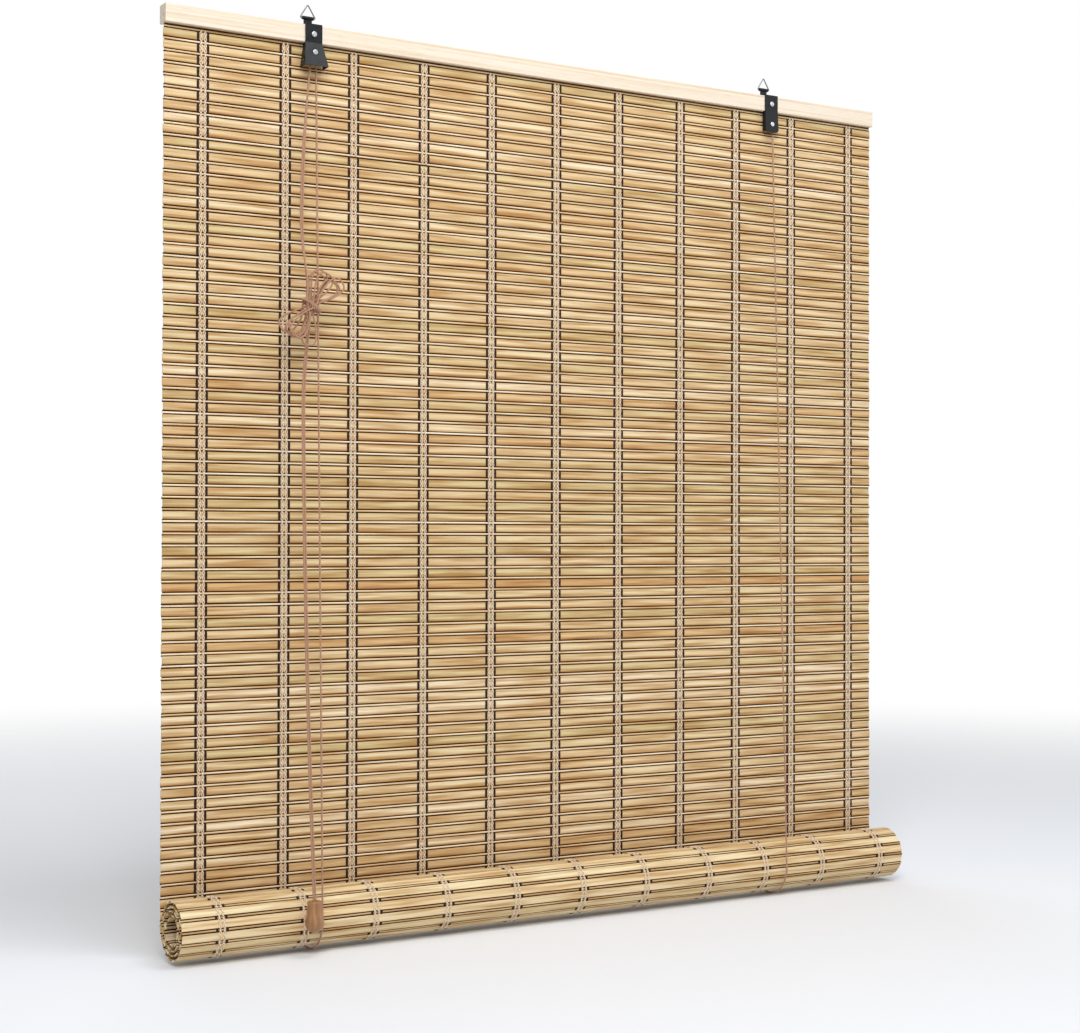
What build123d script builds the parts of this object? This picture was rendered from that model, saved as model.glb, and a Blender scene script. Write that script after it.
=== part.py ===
from build123d import *
from math import acos, atan2, cos, degrees, hypot, pi, radians, sin, sqrt, tan
import os

# Bamboo roll up blind, in millimetres. X runs along the width, +X to the right seen from the front.
# The front faces -Y and +Z is up. The origin is midway between the two hooks it hangs from,
# at the underside of the wire loops, so the whole blind lies below z = 0.

# Driving dimensions of the whole blind
WIDTH = 1000.0
HOOK_X = 326.0
HEADRAIL_TOP = -26.0
HEADRAIL_HEIGHT = 20.0
HEADRAIL_DEPTH = 18.0
HEADRAIL_BACK = 2.0
MAT_Y = -9.0
ROLL_DROP = 1005.0
ROLL_RADIUS = 34.5

# Reed mat: flat slats with a round stick between each pair
ROWS = 75
MAT_IN_GROOVE = 8.0
SLAT_THICKNESS = 1.4
STICK = 2.1
GAP = 1.1
NECK = 0.6
EDGE_STRIP = 30.0
TAIL_GAP = 0.25
GROOVE_WIDTH = 2.6
GROOVE_DEPTH = 9.0
NAIL = 1.2
NAIL_RISE = 4.5
NAIL_X = range(-450, 451, 150)

# Roll of the same mat
TURN_PITCH = 5.0
ROLLED_ROWS = 45

# Woven string columns, with the second and the last a little off the even spacing
COLUMN_PITCH = 91.0
COLUMN_SHIFTS = {1: 6.5, 7: 3.0, 10: 6.5}
COLUMNS = 11
YARN = 2.4
YARN_SPACING = 11.5
STRING_THICKNESS = 0.3
YARN_THICKNESS = 0.45

# Sheet metal brackets
SHEET = 1.2
PLATE_WIDTH = 20.6
NECK_WIDTH = 10.0
HOOD_DROP = 27.5
LOCK_HOOD_WIDTH = 29.0
LOCK_HOOD_TILT = 8.0
PULLEY_HOOD_TILT = 2.0
HOOD_BACK = -11.6
SCREW_DROP = 10.5
LOCK_AXLE_DROP = 11.4
PULLEY_AXLE_DROP = 16.9

# Wire loops and the knuckles that hold them
WIRE = 1.6
LOOP_HALF = 9.6
LOOP_HEIGHT = 15.25
KNUCKLE_HALF = 6.9
KNUCKLE_RADIUS = 2.1
HINGE_PLAY = 0.08

# Screws, axles and wheels
SCREW_HEAD = 6.6
SCREW_SHANK = 3.0
SCREW_LENGTH = 12.0
AXLE = 2.6
AXLE_PLAY = 0.05
RIVET_HEAD = 6.2
WHEEL_TRACK = 4.1
WHEEL_FLANGE = 4.9
FLANGE = 0.6
LOCK_WHEEL_Y = (-17.6, -12.1)
PULLEY_WHEEL_Y = (-15.7, -12.3)
WHEEL_PLAY = 0.15

# Locking pin and the slanted slots it slides in
LOCK_PIN = 1.8
LOCK_DRUM = 3.2
LOCK_DRUM_LENGTH = 9.0
LOCK_PIN_REACH = 14.2
LOCK_TRAVEL = 2.4
LOCK_WAY = (0.0, -0.3, 0.954)
LOCK_SLOT_Y = -19.1
LOCK_SLOT_DROP = 20.2

# Cords
CORD = 2.0
LOCK_CORD_Y = (-13.8, -15.9)
PULLEY_CORD_Y = -14.0
SLING_X = (-341.0, 302.0)
SLING_CLEARANCE = 0.5
SLING_JOIN = 0.2
WHEEL_ENTRY = 4.2
CROSSING_BEHIND = 5.4
CROSSING_BEND = 6.0
CROSSING_PASS = (5.2, 11.5)
HOOD_EXIT = -75.5
BACK_CORD_HOLE = 10.0

# Pull cords, each as the x and z of its route and how far its two strands lie apart along x and y
PULL_ROUTE_ABOVE = (
    (-330.1, -75.8),
    (-335.6, -119.0),
    (-340.3, -163.0),
    (-344.0, -211.0),
    (-347.0, -266.0),
    (-348.6, -326.0),
)
PULL_SPREAD_ABOVE = ((0.0, 1.05), (0.6, 1.05), (1.15, 0.4), (1.15, 0.0), (1.15, 0.0), (1.15, 0.0))
PULL_SPREAD_BELOW = 1.15
PULL_TOP_Y = -14.85
PULL_BELOW_RUNS = 11
PULL_BELOW_TOP = -376.0
PULL_BELOW_X = -356.6
PULL_BEND_Z = -860.0
PULL_BEND_DEPTH = 8.1

# Hank of spare cord and the turned knob
KNOB_X = -355.9
KNOB_Y = -90.5
KNOB_TOP = -993.0
KNOB_HEIGHT = 34.0
KNOB_RADIUS = 10.4
KNOB_HOLE = 2.1
KNOB_CORD_DEPTH = 12.0
HANK_TOP = -304.0
HANK_BOTTOM = -386.0
HANK_X = -341.0
HANK_FORWARD = 7.3
HANK_THICKNESS = 17.0
HANK_LOBE = (54.0, 37.0)
HANK_SPREAD = (12.0, 17.0)
HANK_TILT = 38.0
HANK_WAIST = 8.0
HANK_ROUND = 5.0

# Sizes that follow
HEADRAIL_BOTTOM = HEADRAIL_TOP - HEADRAIL_HEIGHT
HEADRAIL_FRONT = HEADRAIL_BACK - HEADRAIL_DEPTH
ROLL_BOTTOM = HEADRAIL_BOTTOM - ROLL_DROP
ROLL_Z = ROLL_BOTTOM + ROLL_RADIUS - TURN_PITCH / 4
ROLL_MID = ROLL_RADIUS - STICK / 2
ROLL_Y = MAT_Y - ROLL_MID
MAT_TOP = HEADRAIL_BOTTOM + MAT_IN_GROOVE
PITCH = (MAT_TOP - ROLL_Z - TAIL_GAP) / ROWS
SLAT = PITCH - STICK - 2 * GAP
BASE_BAR_Z = WIRE / 2 - LOOP_HEIGHT
SLING_RADIUS = ROLL_RADIUS + YARN_THICKNESS + SLING_CLEARANCE + CORD / 2
BACK_CORD_Y = ROLL_Y + SLING_RADIUS
HOOD_BOTTOM = HEADRAIL_BOTTOM - HOOD_DROP
LOCK_AXLE_Z = HEADRAIL_BOTTOM - LOCK_AXLE_DROP
PULLEY_AXLE_Z = HEADRAIL_BOTTOM - PULLEY_AXLE_DROP
SCREW_Z = HEADRAIL_TOP - SCREW_DROP
LOCK_SLOT_CENTRE = (0.0, LOCK_SLOT_Y, HEADRAIL_BOTTOM - LOCK_SLOT_DROP)
PULL_LEAN = (KNOB_Y - PULL_TOP_Y) / (KNOB_TOP - HOOD_EXIT)
BAND = STICK / 2 + 0.02
ROLL_BAND = STICK / 2 + 0.1

os.makedirs("parts", exist_ok=True)


def save(node, shape):
    """Write one piece of the blind to its own file."""
    shape.label = node
    export_step(shape, f"parts/{node}.step")


def block(x, y, z):
    """A box between two limits on each axis."""
    size = [abs(limit[1] - limit[0]) for limit in (x, y, z)]
    centre = [(limit[0] + limit[1]) / 2 for limit in (x, y, z)]
    return Pos(*centre) * Box(*size)


def along_y(x, z, radius, start, end):
    """A round bar along Y between two depths."""
    middle = Pos(x, (start + end) / 2, z)
    return middle * Rot(90, 0, 0) * Cylinder(radius, abs(end - start))


def extrude_x(points, start, end):
    """A closed outline of (y, z) points pulled along X."""
    sketch = Plane.YZ.offset(start) * make_face(Polyline(*points, close=True))
    return extrude(sketch, amount=end - start)


def column_x(index):
    """Where a column of strings stands across the width."""
    return (index - (COLUMNS - 1) / 2) * COLUMN_PITCH + COLUMN_SHIFTS.get(index, 0.0)


def reed_section(rows):
    """Distance down the mat and half thickness at each edge of every slat and stick."""
    section = []
    for row in range(rows):
        top = row * PITCH
        stick = top + SLAT + GAP
        section += [
            (top, SLAT_THICKNESS / 2),
            (top + SLAT, SLAT_THICKNESS / 2),
            (top + SLAT, NECK / 2),
            (stick, NECK / 2),
            (stick + 0.25 * STICK, STICK / 2),
            (stick + 0.75 * STICK, STICK / 2),
            (stick + STICK, NECK / 2),
            (top + PITCH, NECK / 2),
        ]
    return section


# Headrail and mat


def headrail():
    """A planed pine batten with a groove for the mat, pilot holes and two cord holes."""
    rail = block((-WIDTH / 2, WIDTH / 2), (HEADRAIL_FRONT, HEADRAIL_BACK), (HEADRAIL_BOTTOM, HEADRAIL_TOP))
    rail = chamfer(rail.edges().filter_by(Axis.X), 0.6)
    groove = (MAT_Y - GROOVE_WIDTH / 2, MAT_Y + GROOVE_WIDTH / 2)
    rail -= block((-WIDTH, WIDTH), groove, (HEADRAIL_BOTTOM - 1, HEADRAIL_BOTTOM + GROOVE_DEPTH))
    for side in (-1, 1):
        rail -= along_y(side * HOOK_X, SCREW_Z, SCREW_SHANK / 2, HEADRAIL_FRONT - 1, HEADRAIL_FRONT + SCREW_LENGTH)
    for x in SLING_X:
        hole = Cylinder(CORD / 2 + 0.2, BACK_CORD_HOLE)
        rail -= Pos(x, BACK_CORD_Y, HEADRAIL_BOTTOM + BACK_CORD_HOLE / 2) * hole
    return rail


def mat_nails():
    """Thin nails driven from the back through the headrail and the top slat."""
    z = HEADRAIL_BOTTOM + NAIL_RISE
    nails = [along_y(x, z, NAIL / 2, MAT_Y - 3.0, HEADRAIL_BACK - 0.3) for x in NAIL_X]
    return Compound(nails)


def slat_mat():
    """The hanging mat: slats and sticks as ridges of one wall, open below every stick."""
    section = reed_section(ROWS)
    front = [(MAT_Y - half, MAT_TOP - down) for down, half in section]
    back = [(MAT_Y + half, MAT_TOP - down) for down, half in reversed(section)]
    mat = extrude_x(front + back, -WIDTH / 2, WIDTH / 2)
    reach = WIDTH / 2 - EDGE_STRIP
    gaps = []
    for row in range(ROWS - 1):
        low = MAT_TOP - (row + 1) * PITCH
        gaps.append(block((-reach, reach), (MAT_Y - 1, MAT_Y + 1), (low, low + GAP)))
    mat -= gaps
    return mat - cord_passages()


def cord_passages():
    """Where the slats part behind each bracket, so that the crossing cord can pass to the back."""
    half = CORD / 2 + 1.0
    places = ((LOCK_AXLE_Z, -HOOK_X + 8.5), (PULLEY_AXLE_Z, HOOK_X - 8.5))
    return [
        block((x - 4.5, x + 4.5), (MAT_Y - 2, MAT_Y + 2), (z + WHEEL_TRACK - half, z + WHEEL_TRACK + half))
        for z, x in places
    ]


def string_band(x, side):
    """Strings between two dark yarns on one face of the mat."""
    low = ROLL_Z + TAIL_GAP + 0.5
    high = HEADRAIL_BOTTOM - 0.3
    near = MAT_Y + side * BAND
    reach = (YARN_SPACING + YARN) / 2
    band = block((x - reach, x + reach), (near, near + side * STRING_THICKNESS), (low, high))
    for edge in (-1, 1):
        yarn = x + edge * YARN_SPACING / 2
        band += block((yarn - YARN / 2, yarn + YARN / 2), (near, near + side * YARN_THICKNESS), (low, high))
    return band


def string_column(index):
    """One column of strings, front and back, tied through the first and the last open gap."""
    x = column_x(index)
    column = string_band(x, -1) + string_band(x, 1)
    for row in (1, ROWS - 1):
        low = MAT_TOP - row * PITCH
        tie = (low + 0.1, low + GAP - 0.1)
        column += block((x - 4, x + 4), (MAT_Y - BAND - 0.1, MAT_Y + BAND + 0.1), tie)
    return column


# Roll


def spiral_angle(down):
    """How far round the roll a distance along the rolled mat lies, in radians."""
    return (ROLL_MID - sqrt(ROLL_MID**2 - TURN_PITCH * down / pi)) * 2 * pi / TURN_PITCH


def on_spiral(down, out):
    """A point of the rolled mat, with out measured from the middle of its thickness."""
    angle = spiral_angle(down)
    radius = ROLL_MID - TURN_PITCH * angle / (2 * pi) + out
    return ROLL_Y + radius * cos(angle), ROLL_Z - radius * sin(angle)


def slat_roll():
    """The rolled end of the mat: one spiral wall of slats and sticks, about five turns."""
    section = reed_section(ROLLED_ROWS)
    outer = [on_spiral(down, half) for down, half in section]
    inner = [on_spiral(down, -half) for down, half in reversed(section)]
    return extrude_x(outer + inner, -WIDTH / 2, WIDTH / 2)


def roll_string(index):
    """The part of one string column that shows round the outer turn of the roll."""
    turn = ROLL_MID * 2 * pi - TURN_PITCH * pi
    stops = [step * PITCH / 2 for step in range(1, int(turn / PITCH * 2) + 1)]
    stops = [stop - PITCH / 2 + SLAT / 2 for stop in stops]
    inner = [on_spiral(stop, ROLL_BAND) for stop in stops]
    outer = [on_spiral(stop, ROLL_BAND + YARN_THICKNESS) for stop in reversed(stops)]
    reach = (YARN_SPACING + YARN) / 2
    x = column_x(index)
    return extrude_x(inner + outer, x - reach, x + reach)


# Brackets


def saddle(x):
    """Front plate, strap over the headrail and a lug that curls round the wire."""
    front = HEADRAIL_FRONT - SHEET
    half = PLATE_WIDTH / 2
    lug = (-SHEET / 2, SHEET / 2)
    plate = block((-half, half), (front, HEADRAIL_FRONT), (HEADRAIL_BOTTOM, HEADRAIL_TOP + SHEET))
    strap = block((-NECK_WIDTH / 2, NECK_WIDTH / 2), (front, SHEET / 2), (HEADRAIL_TOP, HEADRAIL_TOP + SHEET))
    neck = block((-NECK_WIDTH / 2, NECK_WIDTH / 2), lug, (HEADRAIL_TOP, BASE_BAR_Z))
    curl = Pos(0, 0, BASE_BAR_Z) * Rot(0, 90, 0) * Cylinder(KNUCKLE_RADIUS, 2 * KNUCKLE_HALF)
    body = plate + strap + neck + curl
    body -= Pos(0, 0, BASE_BAR_Z) * Rot(0, 90, 0) * Cylinder(WIRE / 2 + HINGE_PLAY, 30)
    body -= along_y(0, SCREW_Z, SCREW_SHANK / 2 + 0.2, front - 1, HEADRAIL_FRONT + 1)
    return Pos(x, 0, 0) * body


def hood_solid(half_top, half_bottom, tilt, inset):
    """A tapered block below the headrail, as large as the hood or smaller by its sheet."""
    past = 1.0 if inset else 0.0
    top = HEADRAIL_BOTTOM + past
    bottom = HOOD_BOTTOM - past
    back = HOOD_BACK + 2 * past
    widen = (half_bottom - half_top) / HOOD_DROP
    lean = tilt / HOOD_DROP
    front = HEADRAIL_FRONT - SHEET + inset
    half = half_top - inset
    side = [(back, top), (front + lean * past, top), (front - tilt - lean * past, bottom), (back, bottom)]
    wide = half_bottom - inset + widen * past
    face = [(half - widen * past, top), (wide, bottom), (-wide, bottom), (-half + widen * past, top)]
    outline = make_face(Polyline(*face, close=True))
    return extrude_x(side, -LOCK_HOOD_WIDTH, LOCK_HOOD_WIDTH) & extrude(Plane.XZ * outline, amount=40, both=True)


def hood(half_bottom, tilt):
    """The lower part of a bracket, open at the back and at the bottom."""
    half_top = PLATE_WIDTH / 2
    shell = hood_solid(half_top, half_bottom, tilt, 0.0)
    return shell - hood_solid(half_top, half_bottom, tilt, SHEET)


def lock_bracket():
    """The left bracket, with slanted slots in its cheeks for the locking pin."""
    body = hood(LOCK_HOOD_WIDTH / 2, LOCK_HOOD_TILT)
    body -= along_y(0, LOCK_AXLE_Z, AXLE / 2, -40, -17)
    slot = SlotCenterToCenter(LOCK_TRAVEL, LOCK_PIN + 0.3)
    slanted = Plane(origin=LOCK_SLOT_CENTRE, x_dir=LOCK_WAY, z_dir=(1, 0, 0)) * slot
    body -= extrude(slanted, amount=20, both=True)
    return saddle(-HOOK_X) + Pos(-HOOK_X, 0, 0) * body


def pulley_bracket():
    """The right bracket, a straight hood with rounded lower corners."""
    half = PLATE_WIDTH / 2
    body = hood(half, PULLEY_HOOD_TILT)
    outline = Pos(0, HEADRAIL_BOTTOM - HOOD_DROP / 2) * Rectangle(PLATE_WIDTH, HOOD_DROP)
    outline = fillet(outline.vertices().group_by(Axis.Y)[0], 5.0)
    body &= extrude(Plane.XZ * outline, amount=20, both=True) & block((-half, half), (-30, 0), (-100, 0))
    body -= along_y(0, PULLEY_AXLE_Z, AXLE / 2, -40, -15)
    return saddle(HOOK_X) + Pos(HOOK_X, 0, 0) * body


def hanging_loop(x):
    """A wire triangle: its base turns in the knuckle and its top hangs on the hook."""
    corners = [(-LOOP_HALF, 0, BASE_BAR_Z), (LOOP_HALF, 0, BASE_BAR_Z), (0, 0, WIRE / 2)]
    path = FilletPolyline(*corners, radius=0.95, close=True)
    start = Plane(origin=path @ 0, z_dir=path % 0)
    return Pos(x, 0, 0) * sweep(start * Circle(WIRE / 2), path=path)


def screw(x):
    """A slotted pan head screw through the plate into the headrail."""
    face = HEADRAIL_FRONT - SHEET
    head = along_y(x, SCREW_Z, SCREW_HEAD / 2, face - 2.0, face)
    head = fillet(head.edges().sort_by(Axis.Y)[0], 1.2)
    head -= block((x - 0.5, x + 0.5), (face - 3.0, face - 1.2), (SCREW_Z - 5, SCREW_Z + 5))
    return head + along_y(x, SCREW_Z, SCREW_SHANK / 2 - 0.05, face, HEADRAIL_FRONT + SCREW_LENGTH - 1)


def axle(x, z, plate, hub):
    """A rivet that carries a wheel: domed head, shoulder against the plate, peened tail."""
    head = along_y(x, z, RIVET_HEAD / 2, plate - 1.6, plate)
    head = fillet(head.edges().sort_by(Axis.Y)[0], 1.1)
    tail = hub[1] + WHEEL_PLAY
    shank = along_y(x, z, AXLE / 2, plate, tail)
    shoulder = along_y(x, z, AXLE / 2 + 0.7, plate + SHEET + 0.3, hub[0] - WHEEL_PLAY)
    peened = along_y(x, z, AXLE / 2 + 0.7, tail - 0.01, tail + 0.5)
    return head + shank + shoulder + peened


def wheel(x, z, hub):
    """A grooved wheel that turns on its rivet."""
    front, back = hub
    root = WHEEL_TRACK - CORD / 2 - 0.25
    profile = [
        (AXLE / 2 + AXLE_PLAY, front),
        (WHEEL_FLANGE, front),
        (WHEEL_FLANGE, front + FLANGE),
        (root, front + FLANGE),
        (root, back - FLANGE),
        (WHEEL_FLANGE, back - FLANGE),
        (WHEEL_FLANGE, back),
        (AXLE / 2 + AXLE_PLAY, back),
    ]
    sketch = make_face(Polyline(*profile, close=True))
    return Pos(x, 0, z) * revolve(sketch, Axis.Y)


def lock_pin():
    """The locking pin: a thin axle across the slots with a drum that pinches the pull cords."""
    x, y, z = LOCK_SLOT_CENTRE
    low = Pos(-HOOK_X, y - LOCK_WAY[1] * LOCK_TRAVEL / 2, z - LOCK_WAY[2] * LOCK_TRAVEL / 2)
    pin = low * Rot(0, 90, 0) * Cylinder(LOCK_PIN / 2, 2 * LOCK_PIN_REACH)
    drum = low * Pos(-LOCK_DRUM_LENGTH / 2, 0, 0) * Rot(0, 90, 0) * Cylinder(LOCK_DRUM / 2, LOCK_DRUM_LENGTH)
    return pin + drum


# Cords


def tube(points, radii):
    """A round cord along straight runs joined by arcs."""
    path = FilletPolyline(*points, radius=radii) if radii else Line(*points)
    start = Plane(origin=path @ 0, z_dir=path % 0)
    return sweep(start * Circle(CORD / 2), path=path)


def limp_radii(points):
    """The radius of each bend: 0.45 of the shorter run over the tangent of half the turn."""
    runs = [Vector(b) - Vector(a) for a, b in zip(points, points[1:])]
    radii = []
    for before, after in zip(runs, runs[1:]):
        turn = radians(before.get_angle(after))
        radii.append(0.45 * min(before.length, after.length) / tan(turn / 2))
    return radii


def front_tangent():
    """Where the taut front run of a sling leaves the roll, as (angle from +Y, y, z)."""
    away_y = PULLEY_CORD_Y - ROLL_Y
    away_z = PULLEY_AXLE_Z - ROLL_Z
    angle = atan2(away_z, away_y) + acos(SLING_RADIUS / hypot(away_y, away_z))
    return angle, ROLL_Y + SLING_RADIUS * cos(angle), ROLL_Z + SLING_RADIUS * sin(angle)


def sling(x):
    """The lifting cord where it passes under the roll, from its front to its back."""
    angle, _, _ = front_tangent()
    path = Plane.YZ.offset(x) * CenterArc((ROLL_Y, ROLL_Z), SLING_RADIUS, degrees(angle), 360 - degrees(angle))
    start = Plane(origin=path @ 0, z_dir=path % 0)
    return sweep(start * Circle(CORD / 2), path=path)


def front_run(x, top):
    """The taut lifting cord in front of the mat, from the sling up to its wheel."""
    _, y, z = front_tangent()
    low = Vector(x, y, z)
    high = Vector(*top)
    start = low + (high - low).normalized() * SLING_JOIN
    return tube([start, high], None)


def back_run(x):
    """The lifting cord behind the mat, from the sling up into the headrail."""
    top = HEADRAIL_BOTTOM + BACK_CORD_HOLE - 1
    return tube([(x, BACK_CORD_Y, ROLL_Z + SLING_JOIN), (x, BACK_CORD_Y, top)], None)


def lock_cord():
    """The left lifting cord over the lock's wheel and out at the bottom of the hood."""
    y = LOCK_CORD_Y[0]
    centre = -HOOK_X
    r = WHEEL_TRACK
    rise = Line((centre + r, y, LOCK_AXLE_Z - WHEEL_ENTRY), (centre + r, y, LOCK_AXLE_Z))
    over = ThreePointArc(rise @ 1, (centre, y, LOCK_AXLE_Z + r), (centre - r, y, LOCK_AXLE_Z))
    path = rise + over + Line(over @ 1, (centre - r, y, HOOD_EXIT))
    return sweep(Plane(origin=path @ 0, z_dir=path % 0) * Circle(CORD / 2), path=path)


def crossing_cord():
    """The right lifting cord over its wheel, behind the mat to the lock and out of the hood."""
    r = WHEEL_TRACK
    right = HOOK_X
    left = -HOOK_X
    y_in, y_out = PULLEY_CORD_Y, LOCK_CORD_Y[1]
    behind = MAT_Y + CROSSING_BEHIND
    near, far = CROSSING_PASS
    points = [
        (right + r, y_in, PULLEY_AXLE_Z - WHEEL_ENTRY),
        (right + r, y_in, PULLEY_AXLE_Z + r),
        (right - near, y_in, PULLEY_AXLE_Z + r),
        (right - far, behind, PULLEY_AXLE_Z + r),
        (left + far, behind, LOCK_AXLE_Z + r),
        (left + near, y_out, LOCK_AXLE_Z + r),
        (left - r, y_out, LOCK_AXLE_Z + r),
        (left - r, y_out, HOOD_EXIT),
    ]
    bend = CROSSING_BEND
    return tube(points, [r, bend, bend, bend, bend, r])


def cord_line(z):
    """How far forward the pull cords lean at a height, on their way to the front of the roll."""
    return PULL_TOP_Y + PULL_LEAN * (z - HOOD_EXIT)


def strand_above(side):
    """The route of one pull cord from the lock down to the hank."""
    points = []
    for (x, z), (apart_x, apart_y) in zip(PULL_ROUTE_ABOVE, PULL_SPREAD_ABOVE):
        points.append((x + side * apart_x, cord_line(z) + side * apart_y, z))
    return points


def strand_below(side):
    """The route of one pull cord from the hank down into the knob, in one long gentle bend."""
    points = []
    bottom = KNOB_TOP - KNOB_CORD_DEPTH
    for run in range(PULL_BELOW_RUNS + 1):
        z = PULL_BELOW_TOP + (bottom - PULL_BELOW_TOP) * run / PULL_BELOW_RUNS
        bend = (z - PULL_BEND_Z) / (PULL_BELOW_TOP - PULL_BEND_Z)
        x = PULL_BELOW_X + PULL_BEND_DEPTH * bend**2
        points.append((x + side * PULL_SPREAD_BELOW, cord_line(z), z))
    return points


def hank():
    """The spare pull cord wound in a bow of loops, as its outer shape."""
    middle = (HANK_TOP + HANK_BOTTOM) / 2
    lobe = Rot(0, 0, HANK_TILT) * SlotOverall(*HANK_LOBE)
    outline = Pos(*HANK_SPREAD) * lobe + Pos(-HANK_SPREAD[0], -HANK_SPREAD[1]) * lobe
    notches = outline.vertices().sort_by_distance((0, 0, 0))[:2]
    outline = fillet(notches, HANK_WAIST)
    body = extrude(Plane.XZ * outline, amount=HANK_THICKNESS / 2, both=True)
    body = fillet(body.edges().filter_by(lambda edge: abs(edge.center().Y) > 5), HANK_ROUND)
    lean = degrees(atan2(PULL_LEAN, 1))
    return Pos(HANK_X, cord_line(middle) - HANK_FORWARD, middle) * Rot(-lean, 0, 0) * body


def knob():
    """A turned wooden acorn with a hole for both pull cords."""
    top = KNOB_TOP
    low = KNOB_TOP - KNOB_HEIGHT
    collar = Polyline((KNOB_HOLE, low), (KNOB_HOLE, top), (5.3, top), (5.3, top - 2.4), (4.9, top - 3.2))
    shoulder = ThreePointArc((4.9, top - 3.2), (7.7, top - 11.0), (KNOB_RADIUS, top - 20.5))
    belly = ThreePointArc((KNOB_RADIUS, top - 20.5), (9.0, top - 28.8), (3.8, low))
    outline = collar + shoulder + belly + Line((3.8, low), (KNOB_HOLE, low))
    return Pos(KNOB_X, KNOB_Y, 0) * revolve(Plane.XZ * make_face(outline), Axis.Z)


def build():
    save("headrail", headrail())
    save("mat_nails", mat_nails())
    save("slat_mat", slat_mat())
    save("slat_roll", slat_roll())
    for index in range(COLUMNS):
        save(f"string_column_{index + 1:02d}", string_column(index))
        save(f"roll_string_{index + 1:02d}", roll_string(index))
    save("lock_bracket", lock_bracket())
    save("pulley_bracket", pulley_bracket())
    save("lock_pin", lock_pin())
    for side, x in (("left", -HOOK_X), ("right", HOOK_X)):
        save(f"hanging_loop_{side}", hanging_loop(x))
        save(f"bracket_screw_{side}", screw(x))
    lock_plate = HEADRAIL_FRONT - SHEET - LOCK_HOOD_TILT * LOCK_AXLE_DROP / HOOD_DROP
    pulley_plate = HEADRAIL_FRONT - SHEET - PULLEY_HOOD_TILT * PULLEY_AXLE_DROP / HOOD_DROP
    save("lock_axle", axle(-HOOK_X, LOCK_AXLE_Z, lock_plate, LOCK_WHEEL_Y))
    save("pulley_axle", axle(HOOK_X, PULLEY_AXLE_Z, pulley_plate, PULLEY_WHEEL_Y))
    save("lock_wheel", wheel(-HOOK_X, LOCK_AXLE_Z, LOCK_WHEEL_Y))
    save("pulley_wheel", wheel(HOOK_X, PULLEY_AXLE_Z, PULLEY_WHEEL_Y))
    tops = (
        (-HOOK_X + WHEEL_TRACK, LOCK_CORD_Y[0], LOCK_AXLE_Z - WHEEL_ENTRY),
        (HOOK_X + WHEEL_TRACK, PULLEY_CORD_Y, PULLEY_AXLE_Z - WHEEL_ENTRY),
    )
    for side, x, top in zip(("left", "right"), SLING_X, tops):
        save(f"lifting_cord_sling_{side}", sling(x))
        save(f"lifting_cord_front_{side}", front_run(x, top))
        save(f"lifting_cord_back_{side}", back_run(x))
    save("lock_cord", lock_cord())
    save("crossing_cord", crossing_cord())
    for name, side in (("left", -1), ("right", 1)):
        for part, route in (("upper", strand_above(side)), ("lower", strand_below(side))):
            radii = limp_radii(route)
            print("pull cord radii", part, name, [round(radius) for radius in radii])
            save(f"pull_cord_{part}_{name}", tube(route, radii))
    save("cord_hank", hank())
    save("pull_knob", knob())


build()
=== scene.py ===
import random
from math import acos, atan2, cos, hypot, pi, radians, sin, sqrt

import bpy
from mathutils import Matrix, Vector


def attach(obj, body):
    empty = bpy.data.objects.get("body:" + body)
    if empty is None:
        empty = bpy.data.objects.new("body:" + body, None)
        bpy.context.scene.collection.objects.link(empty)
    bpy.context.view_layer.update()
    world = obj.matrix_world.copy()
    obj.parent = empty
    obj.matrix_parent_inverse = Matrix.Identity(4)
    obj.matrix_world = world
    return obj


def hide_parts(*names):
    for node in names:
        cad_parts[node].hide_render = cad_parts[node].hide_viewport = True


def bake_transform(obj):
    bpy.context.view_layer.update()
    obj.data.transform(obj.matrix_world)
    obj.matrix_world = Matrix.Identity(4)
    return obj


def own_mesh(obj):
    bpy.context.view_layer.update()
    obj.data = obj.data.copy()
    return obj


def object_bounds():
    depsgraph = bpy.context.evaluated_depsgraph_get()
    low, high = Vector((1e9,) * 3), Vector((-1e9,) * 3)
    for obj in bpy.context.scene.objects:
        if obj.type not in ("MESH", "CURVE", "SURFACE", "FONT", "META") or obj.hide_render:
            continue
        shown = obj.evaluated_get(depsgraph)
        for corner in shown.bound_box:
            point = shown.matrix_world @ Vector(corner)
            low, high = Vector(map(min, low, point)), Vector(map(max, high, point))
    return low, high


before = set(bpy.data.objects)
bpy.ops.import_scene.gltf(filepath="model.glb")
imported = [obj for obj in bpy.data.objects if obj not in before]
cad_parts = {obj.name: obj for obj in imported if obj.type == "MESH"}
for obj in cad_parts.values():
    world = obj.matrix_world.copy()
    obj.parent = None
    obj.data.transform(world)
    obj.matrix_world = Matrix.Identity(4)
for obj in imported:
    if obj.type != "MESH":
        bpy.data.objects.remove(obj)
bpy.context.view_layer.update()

# The blind's own sizes, in metres, as its model has them
WIDTH = 1.0
MAT_Y = -0.009
HEADRAIL_BOTTOM = -0.046
MAT_TOP = -0.038
ROLL_RADIUS = 0.0345
TURN_PITCH = 0.005
STICK = 0.0021
GAP = 0.0011
SLAT_THICKNESS = 0.0014
HANGING_ROWS = 75
ROLLED_ROWS = 45
UPPER_ROWS = 10
ROLL_LOWEST = -1.051
ROLL_SEAM = 0.00025
ROLL_Z = ROLL_LOWEST + ROLL_RADIUS - TURN_PITCH / 4
ROLL_MID = ROLL_RADIUS - STICK / 2
ROLL_Y = MAT_Y - ROLL_MID
PITCH = (MAT_TOP - ROLL_Z - ROLL_SEAM) / HANGING_ROWS
SLAT = PITCH - STICK - 2 * GAP
COLUMN_PITCH = 0.091
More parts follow.
